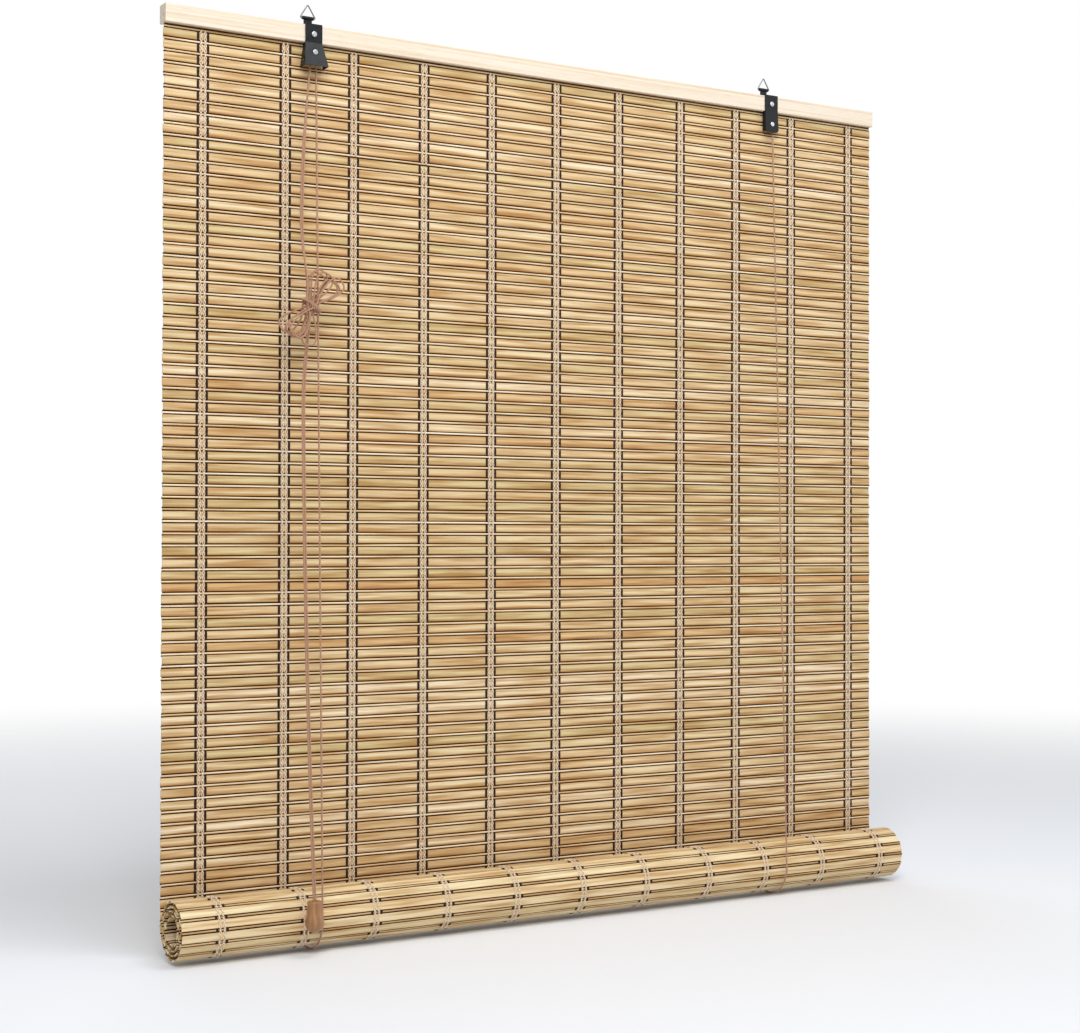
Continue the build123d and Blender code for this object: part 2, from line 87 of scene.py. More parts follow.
COLUMN_SHIFTS = {1: 0.0065, 7: 0.003, 10: 0.0065}
COLUMNS = 11
YARN = 0.0024
YARN_SPACING = 0.0115
CORD = 0.002
STRING_RISE = 0.00045
SLING_ROOM = 0.0005
SLING_RADIUS = ROLL_RADIUS + STRING_RISE + SLING_ROOM + CORD / 2
HOOK_X = 0.326
WHEEL_TRACK = 0.0041
LOCK_AXLE_Z = -0.0574
PULLEY_AXLE_Z = -0.0629
WHEEL_ENTRY = 0.0042
KNOB = Vector((-0.3559, -0.0905, -0.993))
HOOD_EXIT = -0.0755
PULL_TOP_Y = -0.01485
PULL_LEAN = (KNOB.y - PULL_TOP_Y) / (KNOB.z - HOOD_EXIT)


def column_x(index):
    """Where a column of strings stands across the width."""
    return (index - (COLUMNS - 1) / 2) * COLUMN_PITCH + COLUMN_SHIFTS.get(index, 0.0)


def cord_line(z):
    """How far forward the pull cords lean at a height."""
    return PULL_TOP_Y + PULL_LEAN * (z - HOOD_EXIT)


# Colours and materials


def ink(code, alpha=1.0):
    """An sRGB hex value as linear red, green, blue and alpha."""
    parts = [int(code[i : i + 2], 16) / 255 for i in (1, 3, 5)]
    return [c / 12.92 if c <= 0.04045 else ((c + 0.055) / 1.055) ** 2.4 for c in parts] + [alpha]


def add(tree, kind, inputs=None, **settings):
    """A node with its settings, and its inputs as values or as links from other sockets."""
    node = tree.nodes.new(kind)
    for name, value in settings.items():
        setattr(node, name, value)
    for name, value in (inputs or {}).items():
        if isinstance(value, bpy.types.NodeSocket):
            tree.links.new(value, node.inputs[name])
        else:
            node.inputs[name].default_value = value
    return node


def ramp(tree, factor, stops):
    """A colour ramp over a factor, from (position, hex) stops."""
    node = add(tree, "ShaderNodeValToRGB", {"Fac": factor})
    bands = node.color_ramp.elements
    while len(bands) < len(stops):
        bands.new(0.5)
    for band, (place, code) in zip(bands, stops):
        band.position = place
        band.color = ink(code)
    return node.outputs["Color"]


def blended(tree, factor, first, second, mode="MIX"):
    """Two colours mixed by a factor."""
    node = add(tree, "ShaderNodeMix", data_type="RGBA", blend_type=mode)
    for index, value in ((0, factor), (6, first), (7, second)):
        if isinstance(value, bpy.types.NodeSocket):
            tree.links.new(value, node.inputs[index])
        else:
            node.inputs[index].default_value = value
    return node.outputs[2]


def surface(name):
    """An empty material with its shader, ready for nodes."""
    material = bpy.data.materials.new(name)
    material.use_nodes = True
    tree = material.node_tree
    tree.nodes.clear()
    shader = add(tree, "ShaderNodeBsdfPrincipled")
    add(tree, "ShaderNodeOutputMaterial", {"Surface": shader.outputs["BSDF"]})
    return material, tree, shader


def split_bamboo(name, stops, grain_dark, roughness, painted_edge_shade):
    """Split and planed bamboo: straight fibres along the reed, its own tone each, dull sheen."""
    material, tree, shader = surface(name)
    reed = add(tree, "ShaderNodeUVMap", uv_map="reed").outputs["UV"]
    tone = add(tree, "ShaderNodeAttribute", attribute_name="tone").outputs["Fac"]
    base = ramp(tree, tone, stops)
    # fibres 0.5 mm apart and about 110 mm long
    fibre_map = add(tree, "ShaderNodeMapping", {"Vector": reed, "Scale": (9.0, 1900.0, 1.0)})
    fibre = add(
        tree,
        "ShaderNodeTexNoise",
        {"Vector": fibre_map.outputs["Vector"], "Scale": 1.0, "Detail": 3.0, "Roughness": 0.6},
    )
    # slow change of tone along each reed, over about 90 mm
    drift_map = add(tree, "ShaderNodeMapping", {"Vector": reed, "Scale": (11.0, 210.0, 1.0)})
    drift = add(
        tree,
        "ShaderNodeTexNoise",
        {"Vector": drift_map.outputs["Vector"], "Scale": 1.0, "Detail": 2.0},
    )
    fibre_part = add(
        tree,
        "ShaderNodeMapRange",
        {
            "Value": fibre.outputs["Fac"],
            "From Min": 0.35,
            "From Max": 0.68,
            "To Min": 0.0,
            "To Max": 0.55,
        },
    ).outputs["Result"]
    colour = blended(tree, fibre_part, base, ink(grain_dark), "MULTIPLY")
    drift_part = add(
        tree,
        "ShaderNodeMapRange",
        {
            "Value": drift.outputs["Fac"],
            "From Min": 0.4,
            "From Max": 0.68,
            "To Min": 0.0,
            "To Max": 0.9,
        },
    ).outputs["Result"]
    colour = blended(tree, drift_part, colour, ink("#CDAD7E"), "MULTIPLY")
    if painted_edge_shade:
        # painted shade across the slat, for its cupping and the gaps beside it: pale in the middle,
        # browner at its lower and upper edges
        across = add(tree, "ShaderNodeAttribute", attribute_name="across").outputs["Fac"]
        edge = ramp(
            tree,
            across,
            [
                (0.0, "#8C6A44"),
                (0.06, "#CCB088"),
                (0.22, "#F0E5D2"),
                (0.5, "#FFFFFF"),
                (0.95, "#FAF2E4"),
                (1.0, "#9C7A50"),
            ],
        )
        colour = blended(tree, 1.0, colour, edge, "MULTIPLY")
        # joints of the cane and small brown flecks, a few in each reed
        fleck_map = add(tree, "ShaderNodeMapping", {"Vector": reed, "Scale": (38.0, 330.0, 1.0)})
        fleck = add(
            tree,
            "ShaderNodeTexNoise",
            {"Vector": fleck_map.outputs["Vector"], "Scale": 1.0, "Detail": 4.0, "Roughness": 0.7},
        )
        fleck_part = add(
            tree,
            "ShaderNodeMapRange",
            {
                "Value": fleck.outputs["Fac"],
                "From Min": 0.68,
                "From Max": 0.78,
                "To Min": 0.0,
                "To Max": 0.8,
            },
        ).outputs["Result"]
        colour = blended(tree, fleck_part, colour, ink("#A9793F"))
    tree.links.new(colour, shader.inputs["Base Color"])
    bump = add(
        tree,
        "ShaderNodeBump",
        {"Height": fibre.outputs["Fac"], "Strength": 0.25, "Distance": 0.0003},
    )
    tree.links.new(bump.outputs["Normal"], shader.inputs["Normal"])
    shader.inputs["Roughness"].default_value = roughness
    shader.inputs["Specular IOR Level"].default_value = 0.35
    return material


def painted_gap_shade():
    """Painted shade for the bottom of the gaps between reeds, nearly black brown and quite dull."""
    material, tree, shader = surface("painted_shade_gap")
    place = add(tree, "ShaderNodeTexCoord").outputs["Object"]
    patch_map = add(tree, "ShaderNodeMapping", {"Vector": place, "Scale": (14.0, 60.0, 60.0)})
    patch = add(
        tree,
        "ShaderNodeTexNoise",
        {"Vector": patch_map.outputs["Vector"], "Scale": 1.0, "Detail": 2.0},
    )
    colour = ramp(tree, patch.outputs["Fac"], [(0.3, "#1C0E05"), (0.7, "#38220F")])
    tree.links.new(colour, shader.inputs["Base Color"])
    shader.inputs["Roughness"].default_value = 0.9
    shader.inputs["Specular IOR Level"].default_value = 0.1
    return material


def spun_thread(name, light, shade, twist, relief, nap=0.15):
    """Spun and plied thread: short slanted painted highlights and shade of its twist over a soft
    dull body.
    """
    material, tree, shader = surface(name)
    place = add(tree, "ShaderNodeTexCoord").outputs["Object"]
    wave = add(
        tree,
        "ShaderNodeTexWave",
        {"Vector": place, "Scale": twist, "Distortion": 2.5, "Detail": 2.0, "Detail Scale": 2.0},
        bands_direction="DIAGONAL",
    )
    fuzz = add(tree, "ShaderNodeTexNoise", {"Vector": place, "Scale": 1400.0, "Detail": 2.0})
    colour = ramp(tree, wave.outputs["Fac"], [(0.1, shade), (0.75, light)])
    tree.links.new(colour, shader.inputs["Base Color"])
    height = add(
        tree,
        "ShaderNodeMath",
        {0: wave.outputs["Fac"], 1: fuzz.outputs["Fac"]},
        operation="ADD",
    ).outputs[0]
    bump = add(tree, "ShaderNodeBump", {"Height": height, "Strength": relief, "Distance": 0.0002})
    tree.links.new(bump.outputs["Normal"], shader.inputs["Normal"])
    shader.inputs["Roughness"].default_value = 0.75
    shader.inputs["Sheen Weight"].default_value = nap
    shader.inputs["Specular IOR Level"].default_value = 0.25
    return material


def planed_pine():
    """Planed pine: pale cream, long straight grain along the batten, faint darker growth lines."""
    material, tree, shader = surface("planed_pine")
    place = add(tree, "ShaderNodeTexCoord").outputs["Object"]
    # growth lines about 2.5 mm apart up the face, each near half the batten long
    line_map = add(tree, "ShaderNodeMapping", {"Vector": place, "Scale": (2.2, 260.0, 400.0)})
    lines = add(
        tree,
        "ShaderNodeTexNoise",
        {"Vector": line_map.outputs["Vector"], "Scale": 1.0, "Detail": 4.0, "Roughness": 0.55},
    )
    # pores 0.4 mm wide and about 18 mm long
    pore_map = add(tree, "ShaderNodeMapping", {"Vector": place, "Scale": (55.0, 2400.0, 2400.0)})
    pores = add(
        tree,
        "ShaderNodeTexNoise",
        {"Vector": pore_map.outputs["Vector"], "Scale": 1.0, "Detail": 2.0},
    )
    colour = ramp(
        tree,
        lines.outputs["Fac"],
        [(0.25, "#D2BC9E"), (0.42, "#E0D0B9"), (0.6, "#E9DECD"), (0.78, "#DCC8AC")],
    )
    pore_part = add(
        tree,
        "ShaderNodeMapRange",
        {
            "Value": pores.outputs["Fac"],
            "From Min": 0.5,
            "From Max": 0.75,
            "To Min": 0.0,
            "To Max": 0.35,
        },
    ).outputs["Result"]
    colour = blended(tree, pore_part, colour, ink("#D8C0A0"), "MULTIPLY")
    tree.links.new(colour, shader.inputs["Base Color"])
    bump = add(
        tree,
        "ShaderNodeBump",
        {"Height": lines.outputs["Fac"], "Strength": 0.2, "Distance": 0.0003},
    )
    tree.links.new(bump.outputs["Normal"], shader.inputs["Normal"])
    shader.inputs["Roughness"].default_value = 0.6
    return material


def turned_beech():
    """Turned and lacquered beech: warm brown, grain down its length, darker end, soft shine."""
    material, tree, shader = surface("turned_beech")
    place = add(tree, "ShaderNodeTexCoord").outputs["Object"]
    centred = add(
        tree, "ShaderNodeMapping", {"Vector": place, "Location": tuple(-KNOB)}
    ).outputs["Vector"]
    # grain lines 3 mm apart and about 45 mm long
    grain_map = add(tree, "ShaderNodeMapping", {"Vector": centred, "Scale": (300.0, 300.0, 22.0)})
    grain = add(
        tree,
        "ShaderNodeTexNoise",
        {"Vector": grain_map.outputs["Vector"], "Scale": 1.0, "Detail": 4.0, "Roughness": 0.6},
    )
    drop = add(tree, "ShaderNodeSeparateXYZ", {"Vector": centred}).outputs["Z"]
    low = add(
        tree,
        "ShaderNodeMapRange",
        {"Value": drop, "From Min": -0.034, "From Max": -0.022, "To Min": 0.75, "To Max": 0.0},
    ).outputs["Result"]
    grain_tones = [(0.25, "#80512A"), (0.5, "#976638"), (0.75, "#AD7F4C")]
    colour = ramp(tree, grain.outputs["Fac"], grain_tones)
    colour = blended(tree, low, colour, ink("#8A6427"))
    tree.links.new(colour, shader.inputs["Base Color"])
    shader.inputs["Roughness"].default_value = 0.32
    shader.inputs["Coat Weight"].default_value = 0.6
    shader.inputs["Coat Roughness"].default_value = 0.2
    return material


def painted_steel():
    """Pressed steel with dark blue grey paint: satin, slightly pebbled, lighter in patches."""
    material, tree, shader = surface("painted_steel")
    place = add(tree, "ShaderNodeTexCoord").outputs["Object"]
    patch = add(tree, "ShaderNodeTexNoise", {"Vector": place, "Scale": 90.0, "Detail": 3.0})
    pebble = add(tree, "ShaderNodeTexNoise", {"Vector": place, "Scale": 1600.0, "Detail": 1.0})
    colour = ramp(tree, patch.outputs["Fac"], [(0.3, "#0C0E11"), (0.7, "#15181B")])
    tree.links.new(colour, shader.inputs["Base Color"])
    rough = add(
        tree,
        "ShaderNodeMapRange",
        {
            "Value": patch.outputs["Fac"],
            "From Min": 0.3,
            "From Max": 0.7,
            "To Min": 0.36,
            "To Max": 0.5,
        },
    ).outputs["Result"]
    tree.links.new(rough, shader.inputs["Roughness"])
    bump = add(
        tree,
        "ShaderNodeBump",
        {"Height": pebble.outputs["Fac"], "Strength": 0.15, "Distance": 0.0001},
    )
    tree.links.new(bump.outputs["Normal"], shader.inputs["Normal"])
    shader.inputs["Specular IOR Level"].default_value = 0.22
    return material


def bare_metal(name, code, roughness, marks):
    """Drawn, turned or plated metal: fine tool marks make the reflections a little uneven."""
    material, tree, shader = surface(name)
    place = add(tree, "ShaderNodeTexCoord").outputs["Object"]
    mark = add(tree, "ShaderNodeTexNoise", {"Vector": place, "Scale": marks, "Detail": 2.0})
    rough = add(
        tree,
        "ShaderNodeMapRange",
        {"Value": mark.outputs["Fac"], "To Min": roughness - 0.06, "To Max": roughness + 0.08},
    ).outputs["Result"]
    tree.links.new(rough, shader.inputs["Roughness"])
    shader.inputs["Base Color"].default_value = ink(code)
    shader.inputs["Metallic"].default_value = 1.0
    return material


SLAT_TONES = [
    (0.0, "#DCB985"),
    (0.08, "#E4CA9C"),
    (0.3, "#EEDDB8"),
    (0.55, "#E8D5AC"),
    (0.75, "#DFD2A4"),
    (0.86, "#F0E2BE"),
    (1.0, "#FAF0D8"),
]
STICK_TONES = [(0.0, "#F3DDB6"), (0.5, "#FBEACB"), (1.0, "#FFF3DC")]
# The sticks on the roll get darker tones than the hanging ones, as painted shade of the rolled mat.
SHADED_ROLL_STICK_TONES = [(0.0, "#D2B283"), (0.5, "#E2C89C"), (1.0, "#EFDCB4")]
# Only the hanging slats carry painted shade along their long edges.
bamboo = split_bamboo("split_bamboo", SLAT_TONES, "#CBA46C", 0.5, True)
# The roll's slats show their paler back face, and are made paler still as painted light on the
# roll.
back_face_and_lit_bamboo = split_bamboo("split_bamboo_back_and_painted_light", SLAT_TONES, "#E6CFA4", 0.5, False)
stick_bamboo = split_bamboo("bamboo_stick", STICK_TONES, "#EBCB98", 0.45, False)
shaded_roll_stick = split_bamboo("painted_shade_roll_stick", SHADED_ROLL_STICK_TONES, "#D0A870", 0.55, False)
# a thin dark sheet in each gap, painted shade where the real gaps show only shade
gap_shade = painted_gap_shade()
cream = spun_thread("cream_cotton", "#F4E7D2", "#D9BE9E", 160.0, 0.4)
dark_yarn = spun_thread("dark_cotton", "#32180B", "#1A0A03", 160.0, 0.5, 0.0)
cord_braid = spun_thread("braided_cord", "#C1967A", "#8F6750", 420.0, 0.35)
pine = planed_pine()
beech = turned_beech()
steel = painted_steel()
nickel = bare_metal("nickel_plate", "#B4B6B9", 0.3, 700.0)
wire = bare_metal("drawn_wire", "#7C7F84", 0.35, 900.0)
brass = bare_metal("turned_brass", "#B08D4E", 0.35, 600.0)


# Modelling helpers


def deselect():
    """Leave nothing selected."""
    bpy.ops.object.select_all(action="DESELECT")


def pick(*pieces):
    """Select these pieces alone, the first one active."""
    deselect()
    for piece in pieces:
        piece.select_set(True)
    bpy.context.view_layer.objects.active = pieces[0]


def joined(pieces, name):
    """Several pieces as one mesh."""
    pick(*pieces)
    if len(pieces) > 1:
        bpy.ops.object.join()
    whole = bpy.context.view_layer.objects.active
    whole.name = name
    whole.data.name = name
    return whole


def settled(piece):
    """Put a piece's place and size into its mesh."""
    pick(piece)
    bpy.ops.object.transform_apply(location=True, rotation=True, scale=True)
    return piece


def modified(piece, kind, **settings):
    """Add one modifier and apply it."""
    modifier = piece.modifiers.new(kind.lower(), kind)
    for name, value in settings.items():
        setattr(modifier, name, value)
    pick(piece)
    bpy.ops.object.modifier_apply(modifier=modifier.name)
    return piece


def smooth(piece, angle=35):
    """Shade a piece smooth, apart from edges that turn by more than the angle in degrees."""
    pick(piece)
    bpy.ops.object.shade_smooth_by_angle(angle=radians(angle))
    return piece


def bar(size, name):
    """A cuboid of that size round the origin."""
    deselect()
    bpy.ops.mesh.primitive_cube_add(size=1.0)
    piece = bpy.context.view_layer.objects.active
    piece.name = name
    piece.scale = size
    return settled(piece)


def divided(piece, cuts):
    """Divide the edges that run along X, and no others."""
    pick(piece)
    bpy.ops.object.mode_set(mode="EDIT")
    bpy.ops.mesh.select_mode(type="EDGE")
    bpy.ops.mesh.select_all(action="DESELECT")
    bpy.ops.object.mode_set(mode="OBJECT")
    for edge in piece.data.edges:
        a, b = (piece.data.vertices[i].co for i in edge.vertices)
        edge.select = abs(a.x - b.x) > 0.5 * WIDTH
    bpy.ops.object.mode_set(mode="EDIT")
    bpy.ops.mesh.subdivide(number_cuts=cuts)
    bpy.ops.object.mode_set(mode="OBJECT")
    return piece


def reed_map(piece):
    """A map of each reed, in metres along it and round it."""
    layer = piece.data.uv_layers.new(name="reed")
    for loop in piece.data.loops:
        place = piece.data.vertices[loop.vertex_index].co
        layer.data[loop.index].uv = (place.x, place.z + 0.6 * place.y)
    return piece


REED_CUTS = 13
SLAT_EASE = 0.00035


def one_slat():
    """One flat slat with its long edges eased, as the splitting machine leaves them."""
    slat = bar((WIDTH, SLAT_THICKNESS, SLAT), "slat_master")
    slat = modified(slat, "BEVEL", width=SLAT_EASE, segments=1, limit_method="ANGLE")
    return reed_map(divided(slat, REED_CUTS))


def one_stick():
    """One round stick."""
    deselect()
    bpy.ops.mesh.primitive_cylinder_add(
        vertices=8, radius=STICK / 2, depth=WIDTH, rotation=(0, pi / 2, 0)
    )
    stick = bpy.context.view_layer.objects.active
    stick.name = "stick_master"
    return reed_map(divided(settled(stick), REED_CUTS))


WEB_THICKNESS = 0.0006
WEB_LAP = 0.0004


def one_gap():
    """A thin web at the bottom of one gap, which laps a little under both reeds and carries the
    gap's painted shade.
    """
    return reed_map(bar((WIDTH, WEB_THICKNESS, GAP + WEB_LAP), "gap_master"))


# How reeds differ: radians per metre of their three bends, where the first bend starts, how much
# longer each end is, which places count as ends, and how far apart their grain is taken from
BENDS = (5.1, 11.7, 23.0)
BEND_START = 3.0
END_LENGTH = (-0.0012, 0.0004)
END_FROM = 0.49
GRAIN_SPREAD = 9.0


def seated(master, turn, rng, wander, loose):
    """A copy of one reed at its place, a little crooked and uneven, with its own tone."""
    piece = master.copy()
    piece.data = master.data.copy()
    bpy.context.scene.collection.objects.link(piece)
    mesh = piece.data
    sway = [rng.uniform(-wander, wander) for _ in BENDS]
    shift = rng.uniform(-loose, loose)
    longer = rng.uniform(*END_LENGTH)
    starts = (rng.uniform(0, BEND_START), 0.0, 0.0)
    for vertex in mesh.vertices:
        place = vertex.co
        waves = zip(sway, BENDS, starts)
        bend = sum(reach * sin(pace * place.x + start) for reach, pace, start in waves)
        place.z += bend + shift
        if abs(place.x) > END_FROM:
            place.x *= 1 + 2 * longer
        vertex.co = turn @ place
    across = mesh.attributes.new("across", "FLOAT", "POINT")
    for item, vertex in zip(across.data, master.data.vertices):
        item.value = vertex.co.z / SLAT + 0.5
    row_map = mesh.uv_layers["reed"]
    offset = rng.uniform(0, GRAIN_SPREAD)
    for corner in row_map.data:
        corner.uv = (corner.uv[0] + offset, corner.uv[1] + 3 * offset)
    tone = mesh.attributes.new("tone", "FLOAT", "POINT")
    value = rng.random()
    for item in tone.data:
        item.value = value
    return piece


def hanging_place(down):
    """Where a reed lies that far down the hanging mat."""
    return Matrix.Translation((0, MAT_Y, MAT_TOP - down))


def spiral_angle(down):
    """How far round the roll a distance along the rolled mat lies."""
    return (ROLL_MID - sqrt(ROLL_MID**2 - TURN_PITCH * down / pi)) * 2 * pi / TURN_PITCH


def on_spiral(down, out):
    """A (y, z) point of the rolled mat, with out measured from the middle of its thickness."""
    angle = spiral_angle(down)
    radius = ROLL_MID - TURN_PITCH * angle / (2 * pi) + out
    return ROLL_Y + radius * cos(angle), ROLL_Z - radius * sin(angle)


def rolled_place(down, out=0.0):
    """Where a reed lies that far along the rolled mat, its back outwards."""
    angle = spiral_angle(down)
    y, z = on_spiral(down, out)
    return Matrix.Translation((0, y, z)) @ Matrix.Rotation(-angle, 4, "X")


def finish_piece(piece, materials, nodes, body, angle=35):
    """Give a finished piece its materials, the nodes it stands for and the body it moves with."""
    for material in materials:
        piece.data.materials.append(material)
    smooth(piece, angle)
    if nodes:
        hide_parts(*nodes)
    if body:
        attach(piece, body)
    return piece


# Camera, as fitted to the corners of the headrail, the mat and the roll


PHOTO_WIDTH = 1080
FOCAL_PIXELS = 1902.2
FILM = 36.0
CAMERA_PLACE = (-1.2247, -1.9660, -0.6008)
CAMERA_DEGREES = (31.575, 0.619, 0.102)


def look():
    """The camera, turned by its yaw, pitch and roll."""
    yaw, pitch, roll = (radians(angle) for angle in CAMERA_DEGREES)
    ahead = Vector((sin(yaw) * cos(pitch), cos(yaw) * cos(pitch), sin(pitch)))
    level = Vector((cos(yaw), -sin(yaw), 0))
    upright = level.cross(ahead)
    right = cos(roll) * level + sin(roll) * upright
    up = -sin(roll) * level + cos(roll) * upright
    lens = bpy.data.cameras.new("camera")
    lens.sensor_width = FILM
    lens.sensor_fit = "HORIZONTAL"
    lens.lens = FOCAL_PIXELS / PHOTO_WIDTH * FILM
    lens.clip_end = 50.0
    camera = bpy.data.objects.new("camera", lens)
    turn = Matrix((right, up, -ahead)).transposed().to_4x4()
    camera.matrix_world = Matrix.Translation(CAMERA_PLACE) @ turn
    bpy.context.scene.collection.objects.link(camera)
    bpy.context.scene.camera = camera


look()


# Pull cords, with the hank wound from them


def cord_curve(name, points, radius):
    """A smooth cord along its route's points."""
    curve = bpy.data.curves.new(name, "CURVE")
    curve.dimensions = "3D"
    spline = curve.splines.new("NURBS")
    spline.points.add(len(points) - 1)
    for knot, point in zip(spline.points, points):
        knot.co = (*point, 1.0)
    spline.order_u = 3
    spline.use_endpoint_u = True
    curve.resolution_u = 6
    curve.bevel_depth = radius
    curve.bevel_resolution = 2
    curve.use_fill_caps = True
    piece = bpy.data.objects.new(name, curve)
    bpy.context.scene.collection.objects.link(piece)
    return piece


def made_mesh(piece):
    """A curve as a mesh piece of the same name, and the points of its middle line."""
    bevel = piece.data.bevel_depth
    piece.data.bevel_depth = 0.0
    bpy.context.view_layer.update()
    graph = bpy.context.evaluated_depsgraph_get()
    line = bpy.data.meshes.new_from_object(piece.evaluated_get(graph))
    path = [tuple(vertex.co) for vertex in line.vertices]
    bpy.data.meshes.remove(line)
    piece.data.bevel_depth = bevel
    pick(piece)
    bpy.ops.object.convert(target="MESH")
    return bpy.context.view_layer.objects.active, path


HANK_Z = -0.345
HANK_DEPTH = 0.0073
HANK_SLANT = radians(53)
HANK_CENTRE = Vector((-0.341, cord_line(HANK_Z) - HANK_DEPTH, HANK_Z))


def hank_point(along, across, depth):
    """A point of the hank: along its slanted axis, across it, and out to the front."""
    x = along * cos(HANK_SLANT) - across * sin(HANK_SLANT)
    z = along * sin(HANK_SLANT) + across * cos(HANK_SLANT)
    lean = PULL_LEAN * z
    return (HANK_CENTRE.x + x, HANK_CENTRE.y + lean - depth, HANK_CENTRE.z + z)


# A loop's points after the tie, as shares of its reach and of its half width
LOBE = ((0.36, 0.50), (0.78, 1.0), (1.05, 0.78), (1.05, -0.78), (0.78, -1.0), (0.36, -0.50))


def lobe(reach, width, fan, depth, way):
    """One loop of the hank at its own slant, out from the tie on one side and back on the other."""
    points = []
    for share, swing in LOBE:
        along, across = share * reach, swing * width
        turned = (along * cos(fan) - across * sin(fan), along * sin(fan) + across * cos(fan))
        points.append(hank_point(way * turned[0], way * turned[1], depth))
    return points


# The pull cords above the hank, as x, z and how far each stands from their middle in x and in y
CORDS_APART = 0.00115
ABOVE_HANK = (
    (-0.3301, -0.0758, 0.0, 0.00105),
    (-0.3356, -0.119, 0.0006, 0.00105),
    (-0.3403, -0.163, CORDS_APART, 0.0004),
    (-0.3440, -0.211, CORDS_APART, 0.0),
    (-0.3470, -0.266, CORDS_APART, 0.0),
)
# Below it they hang in a slight bow, which is furthest to the left at BOW_Z
BELOW_STEPS = 11
BELOW_TOP = -0.376
BOW_X = -0.3566
BOW_Z = -0.86
BOW = 0.0081
CORD_IN_KNOB = 0.012


def pull_cord(name, side, wind):
    """One pull cord: down from the lock, round its loops in the tie, and down into the knob."""
    route = [(x + side * dx, cord_line(z) + side * dy, z) for x, z, dx, dy in ABOVE_HANK]
    passes = [hank_point(0.0, across, depth) for across, depth in wind["passes"]]
    route += [hank_point(*wind["entry"]), passes[0]]
    for loop, tied in zip(wind["lobes"], passes[1:]):
        route += lobe(*loop) + [tied]
    route.append(hank_point(*wind["leave"]))
    bottom = KNOB.z - CORD_IN_KNOB
    for step in range(1, BELOW_STEPS + 1):
        z = BELOW_TOP + (bottom - BELOW_TOP) * step / BELOW_STEPS
        bend = (z - BOW_Z) / (BELOW_TOP - BOW_Z)
        route.append((BOW_X + BOW * bend**2 + side * CORDS_APART, cord_line(z), z))
    return made_mesh(cord_curve(name, route, CORD / 2))


# How each cord is wound: its place in the tie at each pass, as across and out to the front, and
# its loops, as reach, half width, slant from the hank's own, place to the front, and lower (-1) or
# upper (1)
left_wind = {
    "entry": (0.0190, 0.0189, 0.0032),
    "leave": (-0.0165, -0.0079, -0.0010),
    "passes": [
        (0.0088, 0.0040), (-0.0033, 0.0077), (-0.0005, 0.0049), (-0.0010, 0.0037),
        (0.0029, 0.0008), (-0.0109, -0.0048), (0.0019, -0.0012),
    ],
    "lobes": [
        (0.041, 0.0101, 0.049, 0.0075, -1),
        (0.043, 0.0096, -0.258, 0.0063, 1),
        (0.038, 0.0104, -0.017, 0.0040, -1),
        (0.039, 0.0101, 0.129, 0.0039, 1),
        (0.043, 0.0094, 0.511, 0.0019, -1),
        (0.037, 0.0098, -0.192, 0.0016, 1),
    ],
}
right_wind = {
    "entry": (0.0180, 0.0164, -0.0029),
    "leave": (-0.0160, -0.0101, -0.0017),
    "passes": [
        (0.0078, 0.0019), (-0.0043, -0.0038), (0.0095, -0.0072), (0.0007, -0.0012),
        (0.0009, -0.0073), (-0.0066, -0.0034), (-0.0039, -0.0072),
    ],
    "lobes": [
        (0.040, 0.0096, -0.014, -0.0016, -1),
        (0.041, 0.0094, 0.277, -0.0018, 1),
        (0.042, 0.0098, -0.261, -0.0037, -1),
        (0.037, 0.0101, 0.318, -0.0041, 1),
        (0.039, 0.0096, 0.027, -0.0075, -1),
        (0.043, 0.0096, -0.310, -0.0074, 1),
    ],
}

cords = []
for side_name, side, wind in (("left", -1, left_wind), ("right", 1, right_wind)):
    piece, path = pull_cord(f"pull_cord_{side_name}", side, wind)
    cords.append((piece, path, side))

for piece, path, side in cords:
    finish_piece(piece, [cord_braid], (), None, 60)
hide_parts("pull_cord_upper_left", "pull_cord_lower_left", "cord_hank")
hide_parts("pull_cord_upper_right", "pull_cord_lower_right")


# The knob's outline, as its radius at each level below its top, and the depth of its bore
KNOB_OUTLINE = (
    (0.0021, -0.0002), (0.0029, 0.0), (0.0068, 0.0), (0.0078, -0.0006), (0.0081, -0.0018),
    (0.0080, -0.0045), (0.0079, -0.0080), (0.0084, -0.0120), (0.0094, -0.0160), (0.0102, -0.0200),
    (0.0103, -0.0235), (0.0098, -0.0270), (0.0084, -0.0303), (0.0062, -0.0326), (0.0034, -0.0338),
    (0.0008, -0.0340),
)
KNOB_BORE = 0.014


def turned_knob():
    """The pear of wood on the cords' ends: a broad flat top, a slight waist and a round belly."""
    deselect()
    radius, height = KNOB_OUTLINE[0][0], -KNOB_BORE
    bore = KNOB + Vector((0, 0, height))
    bpy.ops.mesh.primitive_circle_add(vertices=32, radius=radius, fill_type="NGON", location=bore)
    piece = settled(bpy.context.view_layer.objects.active)
    piece.name = "pull_knob_turned"
    bpy.ops.object.mode_set(mode="EDIT")
    bpy.ops.mesh.select_all(action="SELECT")
    for wider, level in KNOB_OUTLINE:
        bpy.ops.mesh.extrude_region_move(TRANSFORM_OT_translate={"value": (0, 0, level - height)})
        bpy.ops.transform.resize(value=(wider / radius, wider / radius, 1), center_override=KNOB)
        radius, height = wider, level
    bpy.ops.mesh.select_all(action="SELECT")
    bpy.ops.mesh.normals_make_consistent(inside=False)
    bpy.ops.object.mode_set(mode="OBJECT")
    return modified(piece, "SUBSURF", levels=1)


